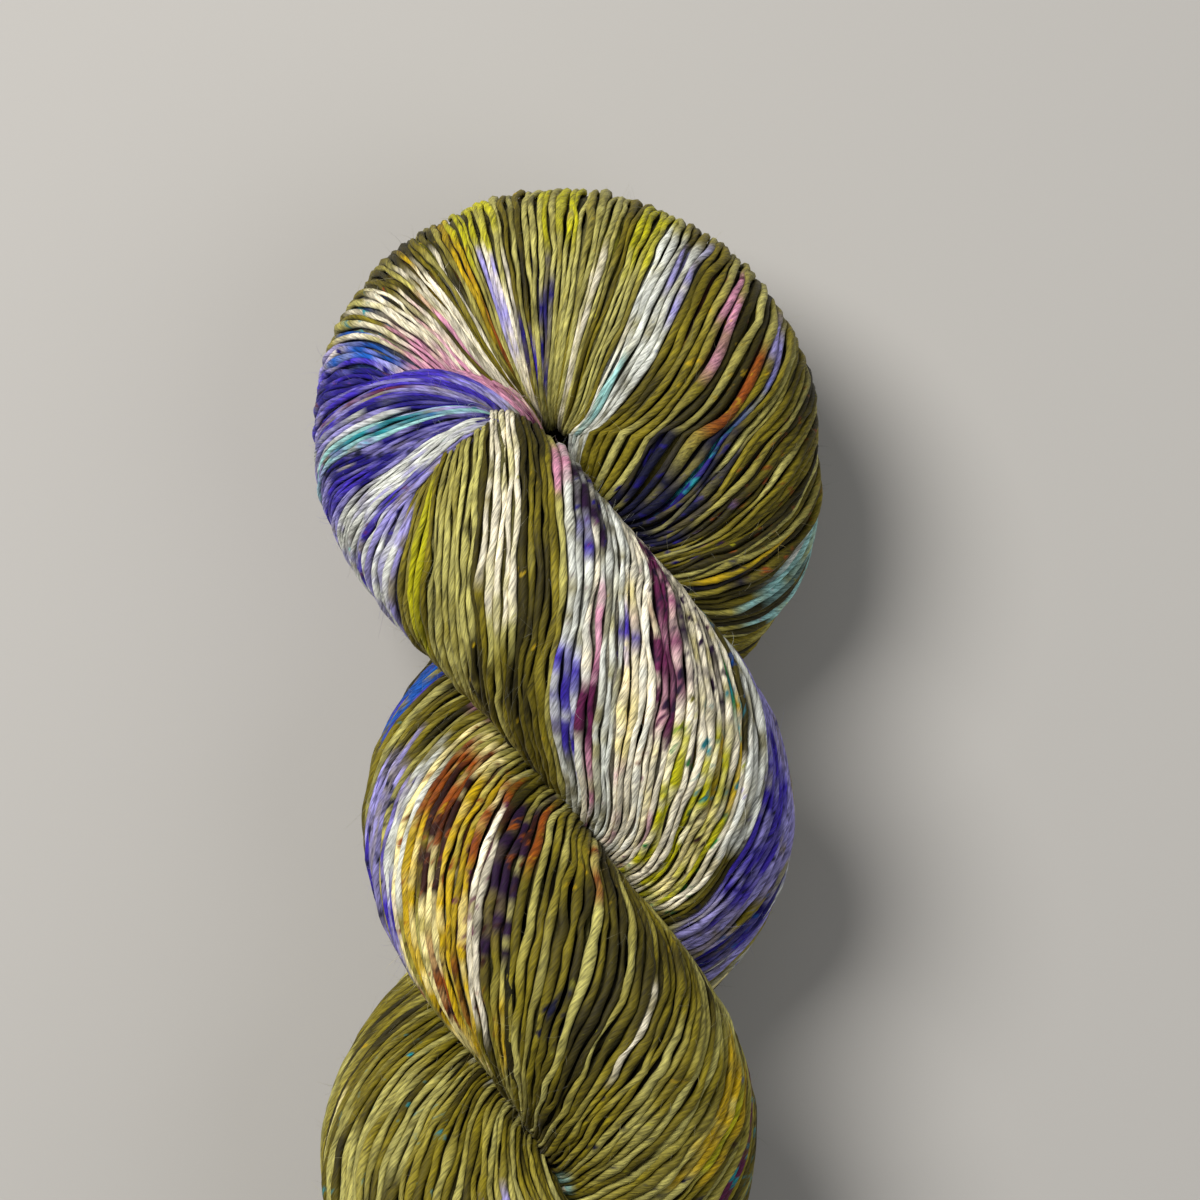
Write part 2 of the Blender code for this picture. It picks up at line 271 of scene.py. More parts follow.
# How far along a yarn has moved at an angle: the shifts at every 30 degrees, joined by the cubic
# kernel 1 - 2.5x^2 + 1.5x^3 up to one column away and 2 - 4x + 2.5x^2 - 0.5x^3 up to two.
def layShift(places, around):
    shifts = np.stack([lay(column, places) for column in layColumns[4:]])
    low = shifts[:5]
    lowest = 2.0 * low[0] - low[1]
    high = [shifts[6] + shifts[7] * more for more in range(1, 6)]
    columns = np.stack([2.0 * lowest - low[0], lowest, *low, 0.0 * places, shifts[5], shifts[6], *high])
    total = 0.0 * around
    for index, column in enumerate(columns):
        x = np.abs(np.degrees(around) / 30.0 - (index - 7))
        near = 1.0 - 2.5 * x**2 + 1.5 * x**3
        far = 2.0 - 4.0 * x + 2.5 * x**2 - 0.5 * x**3
        total = total + column[:, None] * np.where(x < 1.0, near, np.where(x < 2.0, far, 0.0))
    return total


yarn = {
    "thick": 0.70,  # half of a yarn's thickness
    "slub": 0.17,  # share by which it swells and thins
    "points": 66,  # along each yarn
    "sides": 7,
    "dive": 2.4,  # how far each one's start goes under its neighbours
    "diveReach": 7.0,  # and in how many degrees
    "wander": 0.26,  # how far it strays sideways, together with its neighbours
    "ownWander": 0.15,  # and by itself
    "wobble": 0.09,  # the short waves that its twist gives it
    "depth": 0.20,  # how far it rises and sinks
    "fill": 0.45,  # share of the room between its neighbours that a yarn's half takes
    "thinnest": 0.5,
    "fattest": 1.12,
    "fibreTurn": 0.75,  # radians of twist for each millimetre
    "seed": 11,
}


# The lengths at which the yarns pass the outermost line: each is the last plus the step there.
def yarnLengths(first, last, scale=1.0):
    dense = np.linspace(first, last, 4000)
    count = np.concatenate([[0.0], np.cumsum(np.diff(dense) / (scale * lay("step", dense[1:])))])
    return np.interp(np.arange(int(count[-1]) + 1), count, dense)


# How much its neighbours squeeze each yarn: their distance square to it, over the room it would like.
def squeeze(points, settings):
    ahead = unit(np.gradient(points, axis=1))
    gap = np.gradient(points, axis=0)
    gap = gap - ahead * np.sum(gap * ahead, axis=-1, keepdims=True)
    room = np.linalg.norm(gap, axis=-1)
    return np.clip(settings["fill"] * room / settings["thick"], settings["thinnest"], settings["fattest"])


# The fold where the head's fan dives under the first turn: deep * exp(-across^2 - onward^4).
crease = {
    "place": 57.2,
    "wide": 2.4,
    "middle": -34.0,  # degrees round the ply
    "long": 46.0,
    "deep": 1.0,
}


def creaseDepth(places, around):
    across = (places - crease["place"]) / crease["wide"]
    onward = (np.degrees(around) - crease["middle"]) / crease["long"]
    return crease["deep"] * np.exp(-(across**2) - onward**4)


# One path for each yarn: its place plus its shift at each angle, with smooth noise for its wandering,
# its own thickness under the skin. Its start is deeper by dive * exp(-angle / diveReach). "span" may
# give the angles of both ends.
def yarnPaths(places, rng, settings, sink, span=None):
    t = np.linspace(0.0, 1.0, settings["points"])[None, :]
    if span is None:
        span = (lay("start", places), lay("end", places))
    start, end = np.radians(span)[..., None]
    around = start + (end - start) * t
    degrees = np.degrees(around)
    order = np.arange(len(places))[:, None]
    together = smoothNoise(rng, places[:, None] / 7.0, degrees / 34.0)
    alone = smoothNoise(rng, order, degrees / 21.0)
    wobble = smoothNoise(rng, order, degrees / 9.0)
    length = (places[:, None] + layShift(places, around) + settings["wander"] * together
              + settings["ownWander"] * alone + settings["wobble"] * wobble)
    dive = settings["dive"] * np.exp((start - around) / np.radians(settings["diveReach"]))
    sunk = sink + settings["thick"] + dive + creaseDepth(places[:, None], around)
    rise = settings["depth"] * smoothNoise(rng, order, degrees / 48.0)
    points, away = plySkin(length, around, rise - sunk)
    swell = smoothNoise(rng, order, degrees / 13.0)
    fatter = 0.09 * rng.normal(size=(len(places), 1))
    radius = settings["thick"] * (1.0 + fatter + settings["slub"] * np.clip(swell, -2.0, 2.0))
    radius = radius * squeeze(points, settings)
    return {"points": points, "away": away, "radius": radius, "around": around, "places": places}


# The four-sided faces between each ring of a grid of vertices and the next.
def ringFaces(index):
    here = index[..., :-1, :]
    after = index[..., 1:, :]
    faces = np.stack([here, np.roll(here, -1, axis=-1), np.roll(after, -1, axis=-1), after], axis=-1)
    return faces.reshape(-1, 4)


# Tubes round many paths at once: each ring is the point plus radius times cosine and sine of the
# angle along the two directions square to the path. Each tube has its own strip of the UV map.
def tubes(points, away, radius, sides):
    ahead = unit(np.gradient(points, axis=1))
    up = unit(away - ahead * np.sum(away * ahead, axis=-1, keepdims=True))
    side = np.cross(ahead, up)
    angle = np.linspace(0.0, 2.0 * math.pi, sides, endpoint=False)
    rings = np.cos(angle)[:, None] * up[:, :, None, :] + np.sin(angle)[:, None] * side[:, :, None, :]
    vertices = points[:, :, None, :] + radius[:, :, None, None] * rings
    rows, count = radius.shape
    index = np.arange(rows * count * sides).reshape(rows, count, sides)
    caps = np.concatenate([index[:, 0, ::-1], index[:, -1, :]])
    row, ring, corner = np.indices((rows, count - 1, sides))
    u = np.stack([ring, ring, ring + 1, ring + 1], axis=-1) / (count - 1.0)
    corners = np.stack([corner, corner + 1, corner + 1, corner], axis=-1)
    v = (row[..., None] + 0.05 + 0.9 * corners / sides) / rows
    capU = np.repeat([0.0, 1.0], rows * sides)
    capV = np.tile((np.arange(rows)[:, None] + 0.05 + 0.9 * np.arange(sides) / sides).ravel() / rows, 2)
    uvs = np.concatenate([np.stack([u.ravel(), v.ravel()], axis=-1), np.stack([capU, capV], axis=-1)])
    return vertices.reshape(-1, 3), ringFaces(index), caps, uvs


# A mesh, camera or light in the scene.
def addToScene(name, data):
    made = bpy.data.objects.new(name, data)
    bpy.context.scene.collection.objects.link(made)
    return made


# A mesh from arrays: the corners of the four-sided faces, then those of the end caps.
def meshObject(name, vertices, quads, caps, uvs=None):
    mesh = bpy.data.meshes.new(name)
    corners = np.concatenate([quads.ravel(), caps.ravel()])
    sizes = np.concatenate([np.full(len(quads), 4), np.full(len(caps), caps.shape[1])])
    starts = np.concatenate([[0], np.cumsum(sizes)[:-1]])
    mesh.vertices.add(len(vertices))
    mesh.vertices.foreach_set("co", (vertices * mm).astype(np.float32).ravel())
    mesh.loops.add(len(corners))
    mesh.loops.foreach_set("vertex_index", corners.astype(np.int32))
    mesh.polygons.add(len(sizes))
    mesh.polygons.foreach_set("loop_start", starts.astype(np.int32))
    mesh.update(calc_edges=True)
    mesh.polygons.foreach_set("use_smooth", np.full(len(sizes), True))
    if uvs is not None:
        strips = mesh.uv_layers.new(name="strips")
        strips.data.foreach_set("uv", uvs.astype(np.float32).ravel())
    return addToScene(name, mesh)


# One colour or one vector for each vertex.
def addAttribute(piece, name, kind, values):
    attribute = piece.data.attributes.new(name, kind, "POINT")
    key = {"FLOAT_COLOR": "color", "FLOAT_VECTOR": "vector"}[kind]
    attribute.data.foreach_set(key, values.astype(np.float32).ravel())


# sRGB to linear: channels / 12.92 where dark, else ((channels + 0.055) / 1.055) to the power 2.4.
def linear(hexColour):
    channels = np.array([int(hexColour[i:i + 2], 16) for i in (1, 3, 5)]) / 255.0
    return np.where(channels <= 0.04045, channels / 12.92, ((channels + 0.055) / 1.055) ** 2.4)


# The dyer's pots: acid dyes on wool, strong where they fell and faint where they ran.
dyes = {
    "paleOlive": "#AFA85E", "olive": "#7A6E13", "deepOlive": "#322C05",
    "acid": "#B3AE10", "gold": "#BA9A0E", "rust": "#84400A", "brown": "#2E0F08",
    "plum": "#5E1B45", "blackberry": "#220A2C", "rose": "#C688A0", "cream": "#E9E0C6",
    "butter": "#EADB98", "white": "#D3D5CB", "lavender": "#968FCB", "violet": "#3A28A4",
    "indigo": "#12046A", "navy": "#0A0B2C", "blue": "#0D4C9E", "teal": "#20858F",
    "aqua": "#93C4C0", "leaf": "#2A7A38",
}
dyes = {name: linear(value) for name, value in dyes.items()}

# Where the dyes fell, in order: on the yarns from one length to another, between two degrees round the
# ply, the dye, the share of yarns that took it, and the flecks sprinkled on it with their density.
patchColumns = ("from", "to", "start", "end", "dye", "share", "fleck", "flecks")
patchRows = (
    # the fan left of the eye
    (20, 27.5, -150, -25, "cream", 0.85, "plum", 0.06),
    (19.5, 25, -52, -18, "blue", 0.35, "teal", 0.2),
    (26, 57, -180, 95, "lavender", 1, "indigo", 0.16),
    (33, 42, -100, 95, "violet", 0.3, "indigo", 0.16),
    (16.5, 28.5, -172, -70, "rose", 0.72, "plum", 0.12),
    (20, 28, -160, -104, "plum", 0.35, "plum", 0.1),
    (25, 29, -75, -28, "blue", 0.8, "indigo", 0.2),
    (27.5, 33.5, -100, 10, "violet", 0.9, "indigo", 0.24),
    (28.6, 31.4, -76, -10, "indigo", 0.8, "plum", 0.2),
    (29, 34.5, -78, -10, "plum", 0.25, "rust", 0.12),
    (34, 38.5, -88, 10, "white", 0.6, "indigo", 0.14),
    (35.6, 38.2, -92, -40, "indigo", 0.8, "indigo", 0.1),
    (38.4, 41.2, -105, 30, "aqua", 0.55, "teal", 0.2),
    (39.2, 40.8, -62, -28, "teal", 0.3, "blue", 0.2),
    (41.2, 48.3, -96, 6, "indigo", 1, "navy", 0.22),
    (43.4, 47, -70, 2, "lavender", 0.12, "navy", 0.2),
    (44.5, 47.5, -24, 60, "violet", 0.7, "indigo", 0.2),
    (48.3, 53.2, -90, 70, "white", 1, "aqua", 0.1),
    (49, 51, -60, 30, "aqua", 0.5, "aqua", 0.1),
    (53, 55, -40, 70, "violet", 0.55, "plum", 0.18),
    # the top of the head
    (5, 20, -135, -15, "deepOlive", 0.4, "rust", 0.12),
    (8, 18, -112, -30, "rust", 0.24, "brown", 0.16),
    (8, 18, -100, -20, "gold", 0.2, "rust", 0.14),
    (12, 20, -150, -50, "cream", 0.28, "plum", 0.1),
    (-12, 12, -170, 0, "paleOlive", 0.42, "acid", 0.1),
    (-11, 8, -170, -70, "cream", 0.2, "acid", 0.06),
    (-11, 14, -64, 15, "acid", 0.25, "gold", 0.12),
    (-0.4, 1.6, -132, -72, "indigo", 0.85, "navy", 0.1),
    (2, 3.6, -148, -108, "violet", 0.8, "indigo", 0.1),
    (4.2, 5.8, -118, -84, "indigo", 0.8, "navy", 0.1),
    (6.4, 8, -110, -66, "lavender", 0.8, "violet", 0.1),
    (-14.6, -10.6, -172, -38, "white", 0.9, "blue", 0.1),
    (-14.6, -10.8, -74, -38, "lavender", 0.6, "violet", 0.1),
    (-12.4, -11.4, -150, -110, "aqua", 0.8, "blue", 0.15),
    # right of the eye
    (-21.5, -15, -78, -38, "rust", 0.2, "plum", 0.2),
    (-18.2, -16.8, -64, -32, "rose", 0.6, "plum", 0.2),
    (-21.5, -14.8, -78, -44, "brown", 0.2, "gold", 0.16),
    (-27.5, -18, -160, -100, "navy", 0.75, "indigo", 0.2),
    (-25, -21, -136, -76, "navy", 1, "indigo", 0.2),
    (-22.7, -21.9, -84, -50, "blue", 1, "navy", 0.2),
    (-22.7, -21.9, -108, -84, "indigo", 0.8, "teal", 0.3),
    (-22.8, -21.2, -58, -30, "lavender", 0.9, "blue", 0.1),
    (-32, -26.5, -122, -80, "navy", 0.35, "indigo", 0.24),
    (-37, -25, -92, -20, "gold", 0.08, "rust", 0.18),
    (-37.5, -34.5, -100, -72, "navy", 0.6, "navy", 0.2),
    (-48, -37, -72, 20, "aqua", 0.4, "rose", 0.13),
    (-47, -38, -62, 10, "white", 0.4, "acid", 0.16),
    # the first turn
    (54.5, 58.4, -10, 95, "lavender", 0.8, "violet", 0.1),
    (54.5, 57.6, -5, 70, "white", 0.4, "violet", 0.1),
    (58.5, 79.5, -120, 95, "olive", 0.35, "acid", 0.05),
    (60, 63, -30, 50, "acid", 0.3, "gold", 0.08),
    (63, 66.5, -30, 75, "paleOlive", 0.7, "acid", 0.05),
    (66.5, 79, -60, 95, "deepOlive", 0.12, "gold", 0.08),
    (73.8, 79, -120, 20, "deepOlive", 0.3, "gold", 0.08),
    (66, 73.8, -110, 30, "paleOlive", 0.4, "acid", 0.05),
    (69.2, 73.8, -110, 4, "cream", 0.5, "acid", 0.05),
    (79.2, 92.5, -125, 125, "white", 0.95, "plum", 0.1),
    (79.2, 92.5, -125, 125, "cream", 0.4, "rose", 0.1),
    (81, 92.5, -80, 125, "butter", 0.3, "rose", 0.1),
    (80, 95, -30, 125, "rose", 0.15, "plum", 0.1),
    (78.8, 81.4, -112, -78, "rose", 0.8, "plum", 0.12),
    (80.2, 83.4, -104, -50, "blackberry", 0.95, "indigo", 0.2),
    (80, 83, -62, -40, "violet", 0.5, "plum", 0.15),
    (79.2, 81.8, 12, 58, "violet", 0.75, "indigo", 0.12),
    (81.8, 84, 12, 46, "plum", 0.75, "blackberry", 0.2),
    (84, 93.5, -48, 125, "cream", 0.55, "plum", 0.1),
    (84, 92, -42, 52, "butter", 0.5, "gold", 0.1),
    (85.6, 88.2, -24, 4, "violet", 0.5, "violet", 0.2),
    (88.5, 91, 14, 46, "gold", 0.45, "rust", 0.2),
    (90.8, 102.5, -120, 125, "cream", 1, "plum", 0.16),
    (91, 100, -92, 22, "rose", 0.4, "plum", 0.2),
    (90.6, 99.5, -96, 24, "plum", 0.6, "blackberry", 0.26),
    (94.5, 101, -58, 2, "blackberry", 0.4, "blackberry", 0.24),
    (93, 104.5, 4, 125, "cream", 0.8, "acid", 0.24),
    (93, 105.5, 16, 120, "acid", 0.46, "leaf", 0.2),
    (95, 103, 50, 110, "butter", 0.3, "brown", 0.2),
    (96, 103, -4, 40, "gold", 0.22, "teal", 0.2),
    (101, 103.4, -78, 4, "leaf", 0.6, "teal", 0.26),
    (102, 104.6, -70, -20, "acid", 0.5, "blue", 0.2),
    (103.4, 110, -90, 55, "white", 0.95, "lavender", 0.1),
    (104, 109, 44, 95, "acid", 0.35, "brown", 0.2),
    (107, 124, -60, 110, "lavender", 1, "indigo", 0.16),
    (107.5, 122, -14, 70, "violet", 0.5, "indigo", 0.2),
    (109, 122, -5, 66, "indigo", 0.3, "navy", 0.18),
    (106.5, 114, 52, 110, "deepOlive", 0.6, "navy", 0.16),
    (113, 118.5, 44, 110, "olive", 0.5, "blue", 0.16),
    (115, 121, 50, 100, "indigo", 0.55, "blue", 0.22),
    (120.5, 130, 10, 120, "white", 0.6, "lavender", 0.1),
    (122.5, 131, 30, 120, "butter", 0.3, "violet", 0.12),
    # the second turn
    (-113.5, -106, 28, 95, "violet", 0.5, "blue", 0.24),
    (-112.5, -106, 36, 90, "blue", 0.4, "navy", 0.2),
    (-121, -112, 10, 95, "paleOlive", 0.8, "teal", 0.08),
    (-128.5, -117, -60, 46, "lavender", 0.9, "navy", 0.2),
    (-128, -118, -40, 36, "violet", 0.32, "navy", 0.22),
    (-128, -119, -24, 46, "navy", 0.2, "navy", 0.22),
    (-129.5, -125.5, -10, 60, "white", 0.5, "violet", 0.1),
    (-139, -127.5, -85, 95, "butter", 0.7, "rust", 0.18),
    (-138.5, -128, -70, 78, "gold", 0.55, "rust", 0.18),
    (-138.5, -128, -70, 60, "gold", 0.3, "brown", 0.16),
    (-136.5, -129, -60, 50, "acid", 0.25, "rust", 0.16),
    (-139.5, -129, 34, 84, "rust", 0.7, "brown", 0.24),
    (-138.5, -130.5, 38, 78, "brown", 0.28, "gold", 0.16),
    (-139, -131, 0, 50, "brown", 0.2, "rust", 0.2),
    (-138, -133.5, -56, -16, "rust", 0.4, "brown", 0.24),
    (-140.4, -138, -50, 56, "cream", 0.6, "plum", 0.16),
    (-140.4, -137, -20, 60, "rose", 0.3, "plum", 0.2),
    (-143.4, -140.4, -8, 84, "blackberry", 1, "brown", 0.2),
    (-144.5, -140, 36, 78, "brown", 0.3, "rust", 0.2),
    (-143, -139.5, -62, -24, "gold", 0.35, "rust", 0.18),
    (-155, -143, 52, 100, "rust", 0.16, "gold", 0.14),
    (-151.4, -147.6, -38, -4, "navy", 0.6, "navy", 0.22),
    (-157.6, -156.2, -34, 34, "cream", 1, "acid", 0.06),
    (-166, -158, -20, 60, "paleOlive", 0.3, "gold", 0.1),
    (-182, -168, -52, 28, "gold", 0.3, "blue", 0.09),
    (-182, -170, -44, 12, "acid", 0.25, "brown", 0.16),
    (-176, -158, -84, -44, "olive", 0.3, "navy", 0.14),
    (-186, -176, -60, 40, "plum", 0.2, "teal", 0.2),
    # the third turn
    (188, 204, -60, 60, "butter", 0.3, "gold", 0.08),
    (196, 212, -40, 90, "paleOlive", 0.45, "teal", 0.08),
    (203, 222, -95, -24, "paleOlive", 0.15, "teal", 0.13),
    (226, 250, -60, 60, "lavender", 0.35, "violet", 0.15),
)

# The dyes at random for the underside, the back and the tail: one pick per patch.
hiddenPatches = {
    "patches": 46,
    "widest": 15.0,  # along the ply, millimetres
    "longest": 110.0,  # round the head, degrees
    "longestBelow": 64.0,  # and round the legs
    "seed": 5,
}


# Each patch is its middle less and plus half its width and its reach, drawn evenly between limits.
def hiddenRows():
    rng = np.random.default_rng(hiddenPatches["seed"])
    names = ("lavender", "white", "cream", "violet", "indigo", "gold", "acid", "rose", "plum",
             "aqua", "blue", "rust")
    rows = []
    for _ in range(hiddenPatches["patches"]):
        middle = rng.uniform(-235.0, 245.0)
        half = 0.5 * rng.uniform(3.0, hiddenPatches["widest"])
        onHead = -50.0 < middle < 64.0
        if onHead:
            around = rng.uniform(60.0, 150.0)
        else:
            around = rng.choice((-1.0, 1.0)) * rng.uniform(128.0, 170.0)
        reach = 0.5 * rng.uniform(30.0, hiddenPatches["longest" if onHead else "longestBelow"])
        dye, fleck = rng.choice(names, 2)
        rows.append((middle - half, middle + half, around - reach, around + reach,
                     dye, rng.uniform(0.3, 0.9), fleck, rng.uniform(0.08, 0.2)))
    return tuple(rows)


patchRows = hiddenRows() + patchRows


dyeing = {
    "darkest": 0.75,  # share by which a yarn's own tone moves it to the paler or deeper olive
    "fade": 9.0,  # degrees over which a patch ends
    "stray": 7.0,  # degrees by which its ends differ from yarn to yarn
    "newBunch": 0.6,  # chance that the next yarn takes the dye, or not, by itself
    "acidFlecks": 0.03,  # the flecks where no patch is
}


# Colour of every point: olive that varies from yarn to yarn and along each, then the patches in
# turn, each with soft ends, then a last unevenness of tone.
def dyed(paths, rng):
    around = np.degrees(paths["around"])
    places = paths["places"][:, None]
    rows = len(around)
    order = np.arange(rows)[:, None]
    tone = 0.75 * rng.normal(size=(rows, 1)) + 0.42 * smoothNoise(rng, order, around / 24.0)
    tone = tone + 0.3 * smoothNoise(rng, places / 9.0, around / 50.0)
    light = np.clip(dyeing["darkest"] * tone, 0.0, 1.0)[..., None]
    dark = np.clip(-dyeing["darkest"] * tone, 0.0, 1.0)[..., None]
    colour = dyes["olive"] * (1 - light - dark) + dyes["paleOlive"] * light + dyes["deepOlive"] * dark
    fleck = np.zeros((*around.shape, 4)) + np.append(dyes["acid"], dyeing["acidFlecks"])
    for row in patchRows:
        patch = dict(zip(patchColumns, row))
        bunch = np.cumsum(rng.random(rows) < dyeing["newBunch"])
        taken = (rng.random(rows + 1)[bunch] < patch["share"])[:, None]
        shift = rng.normal(size=(2, rows, 1)) * dyeing["stray"]
        inLength = (places > patch["from"]) & (places < patch["to"])
        inAround = (np.clip((around - patch["start"] - shift[0]) / dyeing["fade"] + 0.5, 0.0, 1.0)
                    * np.clip((patch["end"] - around - shift[1]) / dyeing["fade"] + 0.5, 0.0, 1.0))
        mottle = np.clip(0.88 + 0.5 * smoothNoise(rng, order, around / 8.0), 0.25, 1.0)
        mask = (taken * inLength * inAround * mottle)[..., None]
        colour = colour * (1 - mask) + dyes[patch["dye"]] * mask
        mark = (inLength * inAround)[..., None]
        fleck = fleck * (1 - mark) + np.append(dyes[patch["fleck"]], patch["flecks"]) * mark
    uneven = 1.0 + 0.12 * smoothNoise(rng, order, around / 11.0) + 0.1 * rng.normal(size=(rows, 1))
    return colour * np.clip(uneven, 0.6, 1.4)[..., None], fleck


# Adds a node with its settings and links: a socket goes by its name, or as i and its number, and a
# node given as a value links its first output.
def node(tree, kind, settings=None, **inputs):
    made = tree.nodes.new("ShaderNode" + kind)
    for key, value in (settings or {}).items():
        setattr(made, key, value)
    for key, value in inputs.items():
        numbered = key[0] == "i" and key[1:].isdigit()
        socket = made.inputs[int(key[1:]) if numbered else key.replace("_", " ")]
        if isinstance(value, bpy.types.Node):
            value = value.outputs[0]
        if isinstance(value, bpy.types.NodeSocket):
            tree.links.new(value, socket)
        else:
            socket.default_value = value
    return made


# A new material, with what is the same all over set on the shader's own sockets.
def freshMaterial(name, **settings):
    material = bpy.data.materials.new(name)
    material.use_nodes = True
    shader = material.node_tree.nodes["Principled BSDF"]
    for key, value in settings.items():
        shader.inputs[key.replace("_", " ")].default_value = value
    return material, material.node_tree, shader


# Patterns to the millimetre, across the yarn twice and then along it. A merino fibre is 0.02 mm
# thick, too fine to show, so the streaks are bundles 0.35 mm wide and 3 mm long. The flecks are
# drops of strong dye about 1.7 by 2.8 mm.
wool = {
    "streaks": (2.9, 2.9, 0.34),
    "flecks": (0.6, 0.6, 0.36),
    "fleckCut": 0.78,  # noise over this, less the flecks' density, is a fleck
    "fleckEdge": 7.0,  # how hard its edge is
    "darkest": 0.3,  # a streak's tone at its darkest and brightest: the fibres' own tone, with painted shade in the bump's dips and painted highlight on its crests
    "brightest": 1.62,
    "relief": 0.24,  # how deep the streaks are, in millimetres
}


# Single-ply merino, loosely spun and hand dyed: a soft, dry gloss broken by streaks that follow the
# twist, noise stretched along the yarn. The same noise is the bump and the streaks' tone, so the
# colour is partly the fibres' own tone and partly painted shade in the dips and painted highlight on
# the crests. The flecks are noise cut at a threshold.
def merinoYarn():
    material, tree, shader = freshMaterial("hand_dyed_merino_yarn", Roughness=0.64, Specular_IOR_Level=0.22,
                                           Sheen_Weight=0.05, Sheen_Roughness=0.4)
    dye, fleck, straight = [node(tree, "Attribute", {"attribute_name": name})
                            for name in ("dye", "fleck", "straight")]
    streaks = node(tree, "Mapping", i0=straight.outputs["Vector"], Scale=wool["streaks"])
    fibres = node(tree, "TexNoise", Vector=streaks, Scale=1.0, Detail=2.0, Roughness=0.65)
    spots = node(tree, "Mapping", i0=straight.outputs["Vector"], Scale=wool["flecks"])
    drops = node(tree, "TexNoise", Vector=spots, Scale=1.0, Detail=1.5, Roughness=0.5)
    cut = node(tree, "Math", {"operation": "SUBTRACT"}, i0=wool["fleckCut"], i1=fleck.outputs["Alpha"])
    over = node(tree, "Math", {"operation": "SUBTRACT"}, i0=drops, i1=cut)
    spot = node(tree, "Math", {"operation": "MULTIPLY", "use_clamp": True}, i0=over, i1=wool["fleckEdge"])
    marked = node(tree, "Mix", {"data_type": "RGBA"}, i0=spot, i6=dye, i7=fleck)
    # the streaks' tone: the fibres' own tone, with painted shade and painted highlight that follow the bump
    fibreToneAndPaintedShade = node(tree, "MapRange", Value=fibres, From_Min=0.28, From_Max=0.72, To_Min=wool["darkest"],
                  To_Max=wool["brightest"])
    shaded = node(tree, "VectorMath", {"operation": "SCALE"}, i0=marked.outputs[2], Scale=fibreToneAndPaintedShade)
    bump = node(tree, "Bump", Strength=0.9, Distance=wool["relief"] * mm, Height=fibres)
    tree.links.new(shaded.outputs[0], shader.inputs["Base Color"])
    tree.links.new(bump.outputs[0], shader.inputs["Normal"])
    return material


yarnMaterial = merinoYarn()

# The same wool packed deep inside, its colour painted shade: near black, since hardly any light comes back
# from there.
coreMaterial = freshMaterial("shaded_wool_inside", Base_Color=(*linear("#0C0B04"), 1.0), Roughness=0.9,
                             Specular_IOR_Level=0.05)[0]


# Gives a piece its material, its body and the solids that it stands for. Its "slot" is not used.
def placed(piece, material, *nodes, slot="yarn"):
    piece.data.materials.append(material)
    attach(piece, "root")
    if nodes:
        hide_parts(*nodes)


# What the yarn's material reads: the dye, with painted shade in the layer below, the flecks, and
# the point's place on the yarn pulled straight: radius times cosine and sine of its angle less
# fibreTurn times length, then the length.
def finishYarn(piece, colour, fleck, paths, sides, rng):
    radius = paths["radius"][:, :, None]
    rows, count = paths["radius"].shape
    rgb = np.concatenate([colour, np.ones((rows, count, 1))], axis=-1)
    addAttribute(piece, "dye", "FLOAT_COLOR", np.repeat(rgb[:, :, None, :], sides, axis=2))
    addAttribute(piece, "fleck", "FLOAT_COLOR", np.repeat(fleck[:, :, None, :], sides, axis=2))
    far = (along(paths["points"]) + rng.uniform(0, 900, (rows, 1)))[:, :, None]
    angle = np.linspace(0.0, 2.0 * math.pi, sides, endpoint=False) - yarn["fibreTurn"] * far
    straight = np.stack([radius * np.cos(angle), radius * np.sin(angle), far + 0.0 * angle], axis=-1)
    addAttribute(piece, "straight", "FLOAT_VECTOR", straight)


# One piece of many yarns: tubes round their paths, dyed, then darkened by "shade", a painted shade.
def addYarnPiece(name, paths, rng, settings, *nodes, shade=1.0):
    sides = settings["sides"]
    vertices, quads, caps, uvs = tubes(paths["points"], paths["away"], paths["radius"], sides)
    piece = meshObject(name, vertices, quads, caps, uvs)
    colour, fleck = dyed(paths, rng)
    # "shade" darkens the colour as painted shade; it is 1 for all but the layer below
    paths["colour"] = colour * shade
    finishYarn(piece, paths["colour"], fleck, paths, sides, rng)
    placed(piece, yarnMaterial, *nodes)
    print(name, len(paths["points"]), "yarns,", len(quads) * 2, "triangles")
    return paths


# The inside in painted shade, so that no gap shows through: the ply's skin, 2.9 mm down.
def addCore():
    length = np.linspace(line["length"][0] + 1.0, line["length"][-1] - 1.0, 190)[:, None]
    around = np.linspace(-math.pi, math.pi, 36, endpoint=False)[None, :]
    length, around = np.broadcast_arrays(length, around)
    points, _ = plySkin(length, around, np.full(length.shape, -2.9))
    index = np.arange(length.size).reshape(length.shape)
    caps = np.stack([index[0, ::-1], index[-1]])
    placed(meshObject("wool_inside", points.reshape(-1, 3), ringFaces(index), caps), coreMaterial)


rng = np.random.default_rng(yarn["seed"])
addCore()

# lengths along the ply: where the head ends each way, and the first and last whole yarn
headEnd = 56.0
firstLength = line["length"][0] + 12.0
lastLength = line["length"][-1] - 16.0
topPlaces = yarnLengths(firstLength, lastLength)
shown = []
for name, chosen, nodes in (
    ("yarns_right_ply", topPlaces < -headEnd, ()),
    ("yarns_head", np.abs(topPlaces) <= headEnd, ("yarn_skein",)),
    ("yarns_left_ply", topPlaces > headEnd, ()),
):
    paths = yarnPaths(topPlaces[chosen], rng, yarn, 0.0)
    shown.append(addYarnPiece(name, paths, rng, yarn, *nodes))

# the layer below, seen only through the gaps: its colour darkened to a quarter, painted shade between the
# yarns
underYarn = dict(yarn, thick=0.8, points=31, sides=5, wander=0.4, fill=0.7)
paths = yarnPaths(yarnLengths(firstLength, lastLength, 1.3), rng, underYarn, 1.1)
addYarnPiece("yarns_below", paths, rng, underYarn, shade=0.25)


